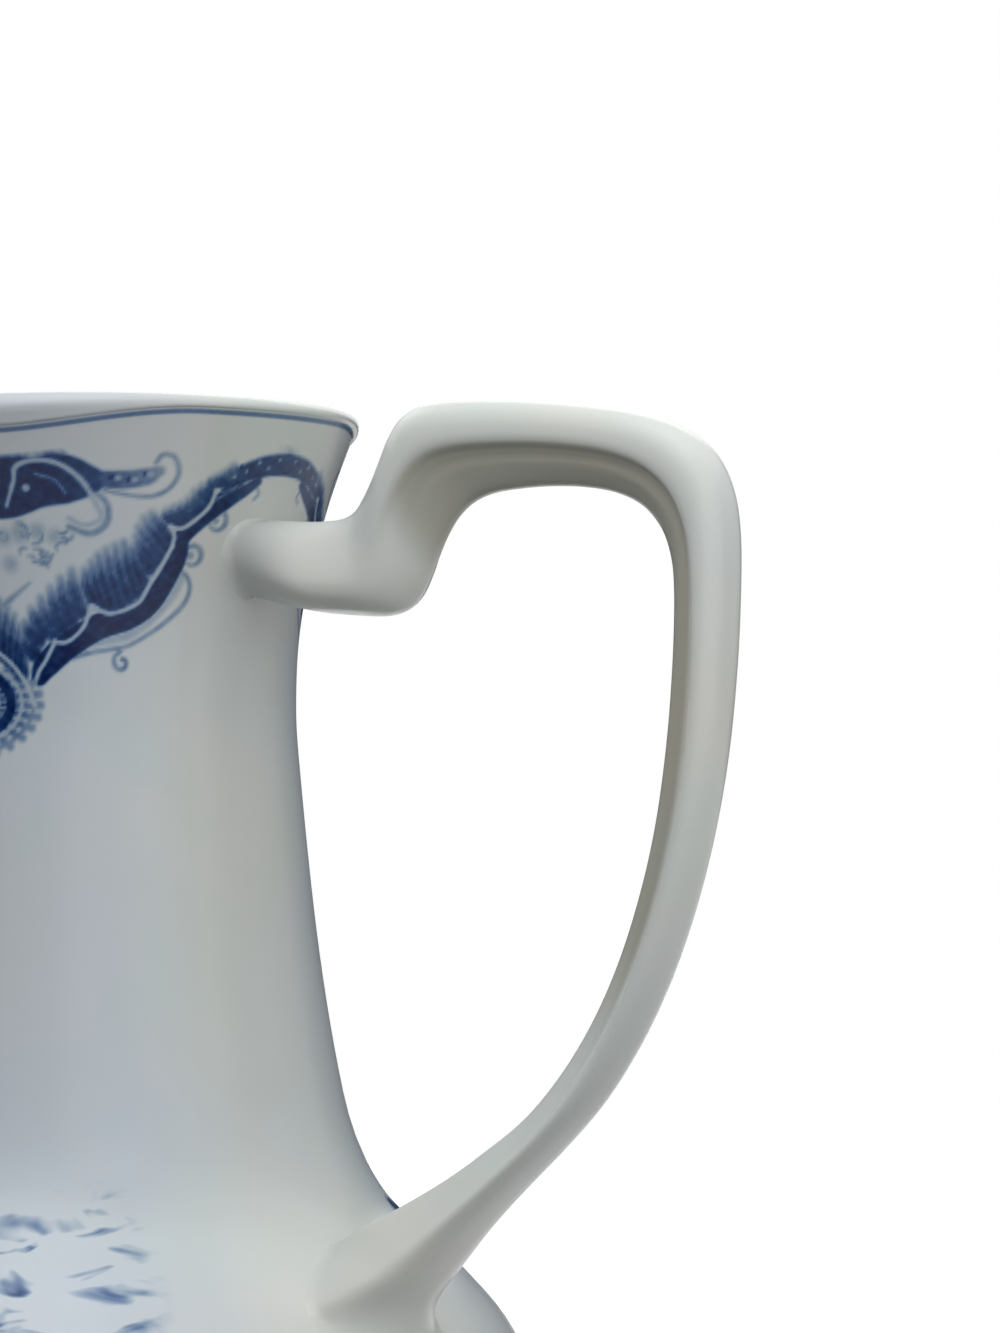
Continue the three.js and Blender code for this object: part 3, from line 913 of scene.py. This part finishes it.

# %% [markdown]
# ## The glaze
# Earthenware of this kind has a thick, slightly bluish lead glaze over an off-white body. Its colour
# drifts a little from cool to warm, its gloss is soft, and its surface has a faint waviness. All three
# pieces share it, so it is a node group: it puts out the colour, the roughness and a height for bump,
# and each material has its own shader. The colours it drifts between are inputs of the group: the
# vessel's glaze is set darker and bluer than the handle's. Both turn to one tone where they
# join, by the attribute that was just written, so no seam shows in the glaze.

# %% Sockets of the glaze group
BLUISH = ((0.52, 0.575, 0.635, 1), (0.565, 0.595, 0.62, 1), (0.525, 0.585, 0.61, 1))
BRIGHT = ((0.66, 0.7, 0.69, 1), (0.7, 0.705, 0.66, 1), (0.65, 0.7, 0.66, 1))
JOINED = ((0.575, 0.615, 0.615, 1), (0.615, 0.63, 0.595, 1), (0.575, 0.625, 0.59, 1))
TONE_NAMES = ("Cool", "Warm", "Pooled")
glaze = bpy.data.node_groups.new("glaze", "ShaderNodeTree")
glaze.interface.new_socket("Color", in_out="OUTPUT", socket_type="NodeSocketColor")
for name in ("Roughness", "Height"):
    glaze.interface.new_socket(name, in_out="OUTPUT", socket_type="NodeSocketFloat")
for name in TONE_NAMES:
    glaze.interface.new_socket(name, in_out="INPUT", socket_type="NodeSocketColor")
print("the glaze takes", TONE_NAMES)


# %% Nodes and mixes
def add_node(tree, kind, **values):
    """Adds a node and sets its properties and the inputs that are named."""
    node = tree.nodes.new(kind)
    for name, value in values.items():
        if name in node.inputs:
            node.inputs[name].default_value = value
        else:
            setattr(node, name, value)
    return node


def feed(tree, socket, value):
    """Feeds an input from another socket, or sets it to a plain value."""
    if isinstance(value, bpy.types.NodeSocket):
        tree.links.new(value, socket)
    else:
        socket.default_value = value


def mix_colour(tree, factor, first, second, blend="MIX"):
    """Mixes two colours, each a socket or a colour value, by a factor socket or number."""
    node = add_node(tree, "ShaderNodeMix", data_type="RGBA", blend_type=blend)
    for number, value in ((0, factor), (6, first), (7, second)):
        feed(tree, node.inputs[number], value)
    return node.outputs[2]


def map_range(tree, value, low, high, start=0, end=1):
    """Turns a value that runs from low to high into one that runs from start to end."""
    node = tree.nodes.new("ShaderNodeMapRange")
    for name, number in (("From Min", low), ("From Max", high), ("To Min", start), ("To Max", end)):
        node.inputs[name].default_value = number
    tree.links.new(value, node.inputs["Value"])
    return node.outputs["Result"]


# %% Glaze group
def noise(tree, place, **values):
    """The grey value of a noise at a place."""
    node = add_node(tree, "ShaderNodeTexNoise", **values)
    tree.links.new(place, node.inputs["Vector"])
    return node.outputs["Fac"]


DRIFT_RANGE, POOL_RANGE = (0.38, 0.62), (0.45, 0.7)
GLOSS = (0.16, 0.3)
group_in = glaze.nodes.new("NodeGroupInput")
group_out = glaze.nodes.new("NodeGroupOutput")
place = glaze.nodes.new("ShaderNodeTexCoord").outputs["Object"]
drift = noise(glaze, place, Scale=12.0, Detail=2.0)
pools = noise(glaze, place, Scale=31.0, Detail=3.0)
ripple = noise(glaze, place, Scale=90.0, Detail=1.0)
cool, warm, glaze_pool_and_stem_shade = (group_in.outputs[name] for name in TONE_NAMES)
tone = mix_colour(glaze, map_range(glaze, drift, *DRIFT_RANGE), cool, warm)
tone = mix_colour(glaze, map_range(glaze, pools, *POOL_RANGE), tone, glaze_pool_and_stem_shade)
glaze.links.new(tone, group_out.inputs["Color"])
glaze.links.new(map_range(glaze, pools, 0, 1, *GLOSS), group_out.inputs["Roughness"])
glaze.links.new(ripple, group_out.inputs["Height"])
print("glaze group has", len(glaze.nodes), "nodes")

# %% Glazed material
SPECULAR = 0.23
RIPPLE_DEPTH = 0.4 * MM


def point_value(tree, name, output="Fac"):
    """Reads a point attribute."""
    return add_node(tree, "ShaderNodeAttribute", attribute_name=name).outputs[output]


def new_material(name):
    """A new material and its shader."""
    material = bpy.data.materials.new(name)
    material.use_nodes = True
    return material, material.node_tree.nodes["Principled BSDF"]


def glaze_coat(tree, tones):
    """Places the glaze group with its three tones."""
    coat = tree.nodes.new("ShaderNodeGroup")
    coat.node_tree = glaze
    for name, tone in zip(TONE_NAMES, tones):
        coat.inputs[name].default_value = tone
    return coat


def glazed_material(piece, name, tones):
    """Glazes a piece. Gives the tree, the shader and the glaze's colour, so that a print can go under it."""
    material, shader = new_material(name)
    piece.data.materials.append(material)
    tree = material.node_tree
    coat = glaze_coat(tree, tones)
    joined = glaze_coat(tree, JOINED)
    colour = mix_colour(tree, point_value(tree, "joint"), coat.outputs["Color"], joined.outputs["Color"])
    shader.inputs["Specular IOR Level"].default_value = SPECULAR
    tree.links.new(coat.outputs["Roughness"], shader.inputs["Roughness"])
    bump = add_node(tree, "ShaderNodeBump", Strength=0.06, Distance=RIPPLE_DEPTH)
    tree.links.new(coat.outputs["Height"], bump.inputs["Height"])
    tree.links.new(bump.outputs["Normal"], shader.inputs["Normal"])
    return tree, shader, colour


# %% Handle material
# Painted shade: this tint darkens and warms the handle's groove and stem.
STEM_SHADE_TINT = (0.64, 0.615, 0.55, 1)
tree, shader, colour = glazed_material(handle, "glazed_handle", BRIGHT)
tinted = mix_colour(tree, 1.0, colour, STEM_SHADE_TINT, "MULTIPLY")
handle_colour = mix_colour(tree, point_value(tree, "glaze_pool_and_stem_shade"), colour, tinted)
tree.links.new(handle_colour, shader.inputs["Base Color"])
print("handle material has", len(tree.nodes), "nodes")

# %% [markdown]
# ## The bare foot
# The ring's resting edge is wiped free of glaze, or the pot would stick to the kiln shelf. So the foot's
# material turns from glaze to bare, rough, biscuit-coloured clay just above the table.


# %% Foot material
def calculate(tree, operation, *values):
    """Calculates with sockets or plain numbers."""
    node = add_node(tree, "ShaderNodeMath", operation=operation)
    for socket, value in zip(node.inputs, values):
        feed(tree, socket, value)
    return node.outputs["Value"]


BARE_CLAY, DARK_CLAY = (0.52, 0.43, 0.31, 1), (0.38, 0.30, 0.21, 1)
BARE_ROUGHNESS = (0.2, 0.85)
BARE_LEVEL = 1.1
GLAZE_EDGE = 0.5
tree, shader, colour = glazed_material(foot, "glazed_foot", BLUISH)
place = tree.nodes.new("ShaderNodeTexCoord").outputs["Object"]
height = tree.nodes.new("ShaderNodeSeparateXYZ")
tree.links.new(place, height.inputs["Vector"])
grit = noise(tree, place, Scale=420.0, Detail=4.0)
wavy = calculate(tree, "MULTIPLY_ADD", grit, GLAZE_EDGE * MM, height.outputs["Z"])
bare = map_range(tree, wavy, (BARE_LEVEL + GLAZE_EDGE) * MM, (BARE_LEVEL + 0.1) * MM)
clay = mix_colour(tree, grit, BARE_CLAY, DARK_CLAY)
tree.links.new(mix_colour(tree, bare, colour, clay), shader.inputs["Base Color"])
tree.links.new(map_range(tree, bare, 0, 1, *BARE_ROUGHNESS), shader.inputs["Roughness"])
print("foot is bare below", BARE_LEVEL, "mm")

# %% [markdown]
# ## Blue under the glaze
# The depth of blue turns into colour through a ramp: a thin wash is grey-blue, a fuller one is mid blue,
# and full ink is a deep cobalt. On the belly, water is suggested by streaks: noise that is squeezed in
# height, so that it lies in long flat strokes, and kept to the places where the water attribute is.

# %% Water strokes and the depth of blue
STROKE_TILT = math.radians(-16)
STROKE_SCALE = (0.062, 0.21, 1)
STREAK_RANGE = (0.53, 0.72)
MOTTLING = (0.9, 1.08)
tree, shader, colour = glazed_material(body, "glazed_vessel", BLUISH)
flatten = add_node(tree, "ShaderNodeMapping", Rotation=(0, 0, STROKE_TILT), Scale=STROKE_SCALE)
tree.links.new(point_value(tree, "unrolled", "Vector"), flatten.inputs["Vector"])
streaks = noise(tree, flatten.outputs["Vector"], Scale=1.0, Detail=2.0, Distortion=0.6)
wash = calculate(tree, "MULTIPLY", map_range(tree, streaks, *STREAK_RANGE), point_value(tree, "water"))
blue = calculate(tree, "MAXIMUM", point_value(tree, "ink"), wash)
place = tree.nodes.new("ShaderNodeTexCoord").outputs["Object"]
mottle = noise(tree, place, Scale=600.0, Detail=2.0)
depth = calculate(tree, "MULTIPLY", blue, map_range(tree, mottle, 0, 1, *MOTTLING))
print("blue runs through", len(tree.nodes), "nodes so far")

# %% Blue under the glaze
cobalt_tones = [(0.28, (0.53, 0.63, 0.75, 1)), (0.5, (0.19, 0.3, 0.52, 1)), (0.75, (0.022, 0.085, 0.26, 1))]
cobalt = tree.nodes.new("ShaderNodeValToRGB")
cobalt.color_ramp.elements[0].color = (1, 1, 1, 1)
cobalt.color_ramp.elements[1].color = (0.001, 0.014, 0.095, 1)
for where, shade in cobalt_tones:
    cobalt.color_ramp.elements.new(where).color = shade
tree.links.new(depth, cobalt.inputs["Fac"])
printed = mix_colour(tree, 1.0, colour, cobalt.outputs["Color"], "MULTIPLY")
tree.links.new(printed, shader.inputs["Base Color"])
print("vessel material has", len(tree.nodes), "nodes")

# %% [markdown]
# ## Camera
# The photograph was taken with a long lens from about the pot's own height, turned so that the handle
# points forward and to the right. The camera is placed by distance, height and the angle to the handle,
# and then turned until the vessel's axis and the horizon lie where they do in the picture.

# %% Camera
CAMERA_ANGLE = math.radians(46)
CAMERA_DISTANCE = 900 * MM
CAMERA_HEIGHT = 200 * MM
LENS, SENSOR = 110.5, 36
PICTURE = (1000, 1333)
AXIS_COLUMN, HORIZON_ROW = 100, 785
focal = LENS / SENSOR * PICTURE[1]
toward_camera = Vector((math.sin(CAMERA_ANGLE), -math.cos(CAMERA_ANGLE), 0))
to_right = Vector((math.cos(CAMERA_ANGLE), math.sin(CAMERA_ANGLE), 0))
up = Vector((0, 0, 1))
yaw = math.atan((PICTURE[0] / 2 - AXIS_COLUMN) / focal)
pitch = math.atan((HORIZON_ROW - PICTURE[1] / 2) / focal)
level_look = to_right * math.sin(yaw) - toward_camera * math.cos(yaw)
look = level_look * math.cos(pitch) + up * math.sin(pitch)
camera_data = bpy.data.cameras.new("camera")
camera_data.lens = LENS
camera_data.sensor_width = SENSOR
camera = bpy.data.objects.new("camera", camera_data)
bpy.context.scene.collection.objects.link(camera)
camera.location = AXIS + toward_camera * CAMERA_DISTANCE + up * CAMERA_HEIGHT
camera.rotation_euler = look.to_track_quat("-Z", "Y").to_euler()
bpy.context.scene.camera = camera
print("camera at", [round(x, 3) for x in camera.location])

# %% [markdown]
# ## Surroundings
# A plain studio: an even sky and a pale floor. Both are white where the camera or a reflection sees
# them, and a quieter grey where they light the pot. The floor keeps the pot's shadow. White china among
# white walls loses its form, so photographers stand dark flags all round it, just outside the picture.
# They take the light off the flanks and undersides. Here one low dark wall does this, hidden from the
# camera.

# %% World
def seen_directly(tree):
    """1 for what the camera, a reflection or a clear material sees."""
    path = tree.nodes.new("ShaderNodeLightPath")
    total = path.outputs["Is Camera Ray"]
    for name in ("Is Glossy Ray", "Is Transmission Ray"):
        total = calculate(tree, "MAXIMUM", total, path.outputs[name])
    return total


SKY = 0.72
world = bpy.data.worlds.new("studio")
bpy.context.scene.world = world
world.use_nodes = True
tree = world.node_tree
background = tree.nodes["Background"]
sky_strength = map_range(tree, seen_directly(tree), 0, 1, SKY, 1)
tree.links.new(sky_strength, background.inputs["Strength"])
background.inputs["Color"].default_value = (1, 1, 1, 1)
print("the sky lights the pot at", SKY)

# %% Floor
FLOOR_RADIUS = 1.3
FLOOR_LEVEL = -0.2 * MM
FLOOR_GREY, FLOOR_PALE = (0.13, 0.13, 0.13, 1), (0.5, 0.5, 0.5, 1)
FLOOR_GLOW = 0.85
ROUND_SIDES = 96


def stand_in_studio(bm, name, material):
    """Turns a bmesh into a thing of the studio, which isn't part of the pitcher."""
    mesh = bpy.data.meshes.new(name)
    bm.to_mesh(mesh)
    bm.free()
    mesh.materials.append(material)
    thing = bpy.data.objects.new(name, mesh)
    thing.location = (AXIS.x, 0, FLOOR_LEVEL)
    bpy.context.scene.collection.objects.link(thing)
    return thing


floor_material, shader = new_material("pale_floor")
tree = floor_material.node_tree
shader.inputs["Roughness"].default_value = 0.9
shader.inputs["Specular IOR Level"].default_value = 0
shader.inputs["Emission Color"].default_value = (1, 1, 1, 1)
seen = seen_directly(tree)
tree.links.new(mix_colour(tree, seen, FLOOR_GREY, FLOOR_PALE), shader.inputs["Base Color"])
tree.links.new(calculate(tree, "MULTIPLY", seen, FLOOR_GLOW), shader.inputs["Emission Strength"])
floor_bm = bmesh.new()
bmesh.ops.create_circle(floor_bm, cap_ends=True, segments=ROUND_SIDES, radius=FLOOR_RADIUS)
stand_in_studio(floor_bm, "floor", floor_material)
print("the floor reaches", FLOOR_RADIUS, "m from the pot")

# %% Dark flags
FLAG_DISTANCE = 1.8
FLAG_HEIGHT = 1.3
black_cloth, shader = new_material("black_cloth")
shader.inputs["Base Color"].default_value = (0.02, 0.02, 0.02, 1)
shader.inputs["Roughness"].default_value = 1
flag_bm = bmesh.new()
bmesh.ops.create_circle(flag_bm, cap_ends=False, segments=ROUND_SIDES, radius=FLAG_DISTANCE)
wall_top = bmesh.ops.extrude_edge_only(flag_bm, edges=flag_bm.edges[:])["geom"]
top_verts = [item for item in wall_top if isinstance(item, bmesh.types.BMVert)]
bmesh.ops.translate(flag_bm, verts=top_verts, vec=(0, 0, FLAG_HEIGHT))
flags = stand_in_studio(flag_bm, "flags", black_cloth)
flags.visible_camera = False
print("flags stand", FLAG_DISTANCE, "m away and", FLAG_HEIGHT, "m high")

# %% [markdown]
# ## Lamps
# Large soft lamps light the pot: one beside the camera, a low one to the right, which lights the outer
# side of the handle, one high on the left for the flanks that face left, and a weak one overhead. Three
# more stand round the back, so that the pot is as well lit from its other sides. Each is a disc, placed
# by its turn from the camera's direction, its rise above the table and its power in watts.


# %% Lamps
LAMP_SIZE = 1.0
LAMP_DISTANCE = 1.2
POT_MIDDLE = AXIS + up * 0.2


def soft_lamp(name, turn, rise, power):
    """A round soft lamp that faces the pot."""
    way = toward_camera * math.cos(math.radians(turn)) + to_right * math.sin(math.radians(turn))
    way = way * math.cos(math.radians(rise)) + up * math.sin(math.radians(rise))
    data = bpy.data.lights.new(name, "AREA")
    data.shape = "DISK"
    data.size = LAMP_SIZE
    data.energy = power
    lamp = bpy.data.objects.new(name, data)
    bpy.context.scene.collection.objects.link(lamp)
    lamp.location = POT_MIDDLE + way * LAMP_DISTANCE
    lamp.rotation_euler = (-way).to_track_quat("-Z", "Y").to_euler()
    print(name, "lamp at", [round(x, 2) for x in lamp.location])


soft_lamp("front", 5, 14, 3.6)
soft_lamp("right", 42, 2, 3.8)
soft_lamp("left", -40, 62, 5)
soft_lamp("top", 0, 85, 1.5)
soft_lamp("side", 105, 18, 1.3)
soft_lamp("back_left", -135, 30, 3.6)
soft_lamp("back_right", 165, 28, 3.2)

# %% [markdown]
# The picture is shown without a film curve, so a colour renders about as it is written.

# %% Finish
bpy.context.scene.view_settings.view_transform = "Standard"
